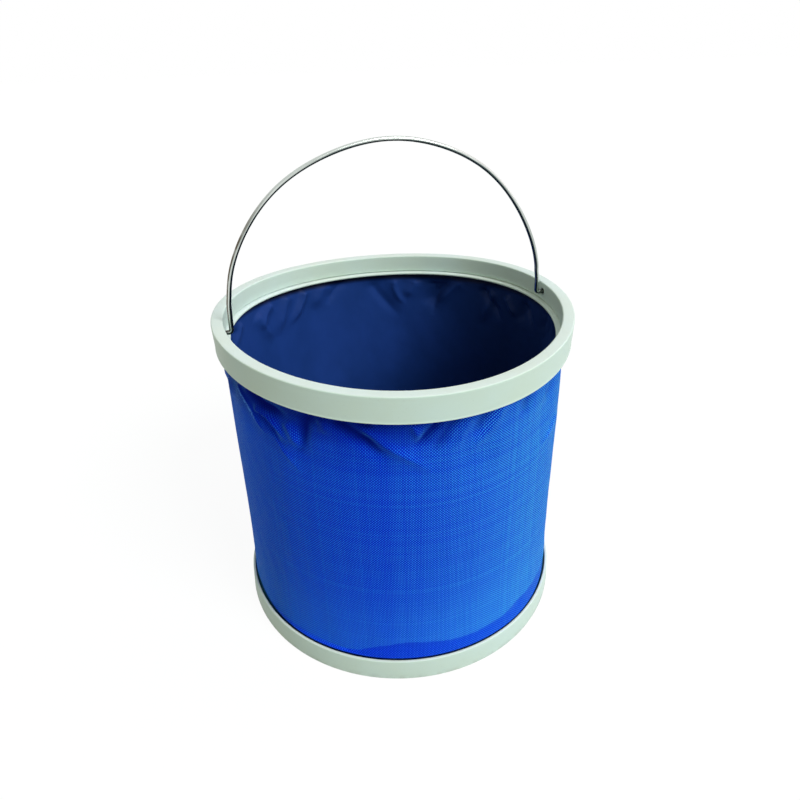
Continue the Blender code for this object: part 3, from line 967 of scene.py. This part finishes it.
def make_bail(material):
    """A round wire with small bends by hand, as drawn from a coil and bent on a former."""
    line = bail_line()
    steps = np.hypot(*np.diff(line, axis=0).T)
    along = np.concatenate([[0], np.cumsum(steps)])
    total = along[-1]
    share = along / total
    away = smooth_step((along - 22) / 40) * smooth_step((total - along - 22) / 40)
    side = away * (0.55 * np.sin(share * 9.0 + 0.4) + 0.35 * np.sin(share * 23.0 + 1.3))
    kink = np.exp(-(((along - 29) / 3.0) ** 2)) - 0.6 * np.exp(-(((total - along - 31) / 4.0) ** 2))
    in_plane = away * (0.45 * np.sin(share * 13.0) + 0.25 * np.sin(share * 31.0 + 2.0)) + 0.35 * kink
    line[:, 0] += BAIL_LEAN * smooth_step(line[:, 1] / (LEG_RISE + LEG_X))
    tangent = np.gradient(line, axis=0)
    tangent /= np.linalg.norm(tangent, axis=1)[:, None]
    normal = np.stack([-tangent[:, 1], tangent[:, 0]], axis=1)
    centre = line + normal * in_plane[:, None]
    sides = 16
    points, faces, uv = [], [], []
    # The cut ends are rounded: steps from the tip, with the share of the wire's radius at each
    rounding = 0.45
    ends = [(0.0, 0.02), (0.12, 0.72), (rounding, 1.0)]
    stations = []
    for back, scale in ends:
        stations.append((centre[0] + tangent[0] * (back - rounding), normal[0], side[0], scale, 0.0))
    for k in range(1, len(centre) - 1):
        stations.append((centre[k], normal[k], side[k], 1.0, along[k]))
    for back, scale in reversed(ends):
        stations.append((centre[-1] - tangent[-1] * (back - rounding), normal[-1], side[-1], scale, total))
    for place, across, off, scale, _ in stations:
        for s in range(sides):
            a = 2 * pi * s / sides
            out, up = across * (WIRE * scale * cos(a))
            points.append((place[0] + out, off + WIRE * scale * sin(a), PIVOT_HEIGHT + place[1] + up))
    girth = 2 * pi * WIRE * MM
    for k in range(len(stations) - 1):
        for s in range(sides):
            n = (s + 1) % sides
            low, high = k * sides, (k + 1) * sides
            faces.append((low + s, high + s, high + n, low + n))
            u0, u1 = stations[k][4] * MM, stations[k + 1][4] * MM
            v0, v1 = girth * s / sides, girth * (s + 1) / sides
            uv += [(u0, v0), (u1, v0), (u1, v1), (u0, v1)]
    last = (len(stations) - 1) * sides
    for ring in (tuple(range(sides)), tuple(reversed(range(last, last + sides)))):
        faces.append(ring)
        uv += [(0.0, 0.0)] * sides
    return mesh_object("bail", points, faces, [material], sharp=radians(60), uv=uv)


# Stage


def make_camera():
    """The photo's camera."""
    data = bpy.data.cameras.new("photo_camera")
    data.sensor_width = 36.0
    data.sensor_fit = "HORIZONTAL"
    data.lens = CAMERA_LENS
    data.shift_x, data.shift_y = CAMERA_SHIFT
    data.clip_start = 0.01
    data.clip_end = 50.0
    camera = link(bpy.data.objects.new("photo_camera", data))
    axes = Matrix((CAMERA_RIGHT, CAMERA_UP, [-c for c in CAMERA_VIEW])).transposed()
    camera.matrix_world = Matrix.Translation(CAMERA_PLACE) @ axes.to_4x4()
    bpy.context.scene.camera = camera


def add_sun(name, bearing, elevation, strength, spread, colour):
    """A distant soft lamp that stands over a bearing round Z, at an elevation. Angles are in degrees."""
    data = bpy.data.lights.new(name, "SUN")
    data.energy = strength
    data.angle = radians(spread)
    data.color = colour
    lamp = link(bpy.data.objects.new(name, data))
    a, e = radians(bearing), radians(elevation)
    towards = Vector((cos(a) * cos(e), sin(a) * cos(e), sin(e)))
    lamp.rotation_euler = towards.to_track_quat("Z", "Y").to_euler()


def seen_rays(nodes, links):
    """1 for rays from the camera, and for reflected and refracted rays, else 0."""
    path = nodes.new("ShaderNodeLightPath")
    total = path.outputs["Is Camera Ray"]
    for name in ("Is Glossy Ray", "Is Transmission Ray"):
        more = nodes.new("ShaderNodeMath")
        more.operation = "MAXIMUM"
        links.new(total, more.inputs[0])
        links.new(path.outputs[name], more.inputs[1])
        total = more.outputs[0]
    return total


def make_world():
    """Soft light, a little stronger from above, warmer from -X. It shows as white."""
    world = bpy.data.worlds.new("studio")
    bpy.context.scene.world = world
    world.use_nodes = True
    nodes, links = world.node_tree.nodes, world.node_tree.links
    nodes.clear()
    light = nodes.new("ShaderNodeBackground")
    direction = nodes.new("ShaderNodeSeparateXYZ")
    links.new(nodes.new("ShaderNodeTexCoord").outputs["Generated"], direction.inputs[0])
    strength = nodes.new("ShaderNodeMapRange")
    strength.inputs["To Min"].default_value = 0.38
    strength.inputs["To Max"].default_value = 0.50
    links.new(direction.outputs["Z"], strength.inputs["Value"])
    links.new(strength.outputs[0], light.inputs["Strength"])
    across = nodes.new("ShaderNodeMapRange")
    across.inputs["From Min"].default_value = -1.0
    links.new(direction.outputs["X"], across.inputs["Value"])
    tints = nodes.new("ShaderNodeValToRGB")
    links.new(across.outputs[0], tints.inputs[0])
    ramp = tints.color_ramp.elements
    ramp[0].position, ramp[0].color = 0.10, (1.0, 0.95, 0.72, 1.0)
    ramp[1].position, ramp[1].color = 0.50, (0.80, 1.0, 0.98, 1.0)
    links.new(tints.outputs[0], light.inputs["Color"])
    seen = nodes.new("ShaderNodeBackground")
    seen.inputs["Color"].default_value = (1.0, 1.0, 1.0, 1.0)
    seen.inputs["Strength"].default_value = 1.0
    mix = nodes.new("ShaderNodeMixShader")
    links.new(seen_rays(nodes, links), mix.inputs[0])
    links.new(light.outputs[0], mix.inputs[1])
    links.new(seen.outputs[0], mix.inputs[2])
    out = nodes.new("ShaderNodeOutputWorld")
    links.new(mix.outputs[0], out.inputs[0])


def make_floor():
    """A pale floor that keeps the bucket's shadow and shows as white where nothing shades it."""
    side = 6000.0
    corners = [(-side, -side, 0), (side, -side, 0), (side, side, 0), (-side, side, 0)]
    g = Graph("studio_floor")
    nodes, links = g.tree.nodes, g.tree.links
    nodes.remove(g.shader)
    grain = g.noise(g.place(), 6.0, 2.0)
    shaded = g.node("ShaderNodeBsdfDiffuse", {"Color": g.mix(grain, (0.96, 0.96, 0.96), (0.98, 0.98, 0.98))})
    glow = g.node("ShaderNodeEmission", {"Color": (1.0, 1.0, 1.0), "Strength": 1.02})
    seen = g.node("ShaderNodeMixShader", {0: 0.91, 1: shaded.outputs[0], 2: glow.outputs[0]})
    dim = g.node("ShaderNodeBsdfDiffuse", {"Color": (0.40, 0.40, 0.40)})
    mix = g.node("ShaderNodeMixShader", {0: seen_rays(nodes, links), 1: dim.outputs[0], 2: seen.outputs[0]})
    links.new(mix.outputs[0], nodes["Material Output"].inputs[0])
    floor = mesh_object("studio_floor", corners, [(0, 1, 2, 3)], [g.material], sharp=None)


def dress():
    plastic = plastic_material("moulded_plastic")
    foot_plastic = plastic_material("foot_plastic", rub=(0.0004, 0.0045))
    cloth = cloth_material("oxford_cloth")
    lining = lining_material("coated_lining")
    steel = steel_material("drawn_steel")
    thread = thread_material("seam_thread")

    lean = Matrix.Translation((RIM_SHIFT * MM, 0, 0))
    rings = [
        (make_rim(plastic), "top_rim", "rim"),
        (make_ledge(plastic), "rim_clamp_ring", "rim"),
        (make_foot(foot_plastic), "base_ring", "foot"),
        (make_foot_clamp(foot_plastic), "base_clamp_ring", "foot"),
    ]
    for ring, node, body in rings:
        if body == "rim":
            ring.data.transform(lean)
        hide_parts(node)
        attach(ring, body)

    bail = make_bail(steel)
    bail.data.transform(lean)
    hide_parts("bail_wire")
    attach(bail, "bail")

    floor_cloth = make_floor_cloth(cloth, lining)
    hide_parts("floor_cloth")
    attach(floor_cloth, "foot")

    wall = build_side_cloth(cloth, lining)
    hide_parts(*[f"cloth_band_{number}" for number in range(1, 8)])
    stitches = seam_stitching(thread)
    for piece in (wall, stitches):
        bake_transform(piece)


make_camera()
make_world()
make_floor()
add_sun("key", bearing=-60, elevation=42, strength=2.36, spread=30, colour=(0.98, 1.0, 0.98))
add_sun("side", bearing=5, elevation=28, strength=0.45, spread=40, colour=(1.0, 0.72, 0.82))
dress()

bpy.context.scene.view_settings.view_transform = "Standard"
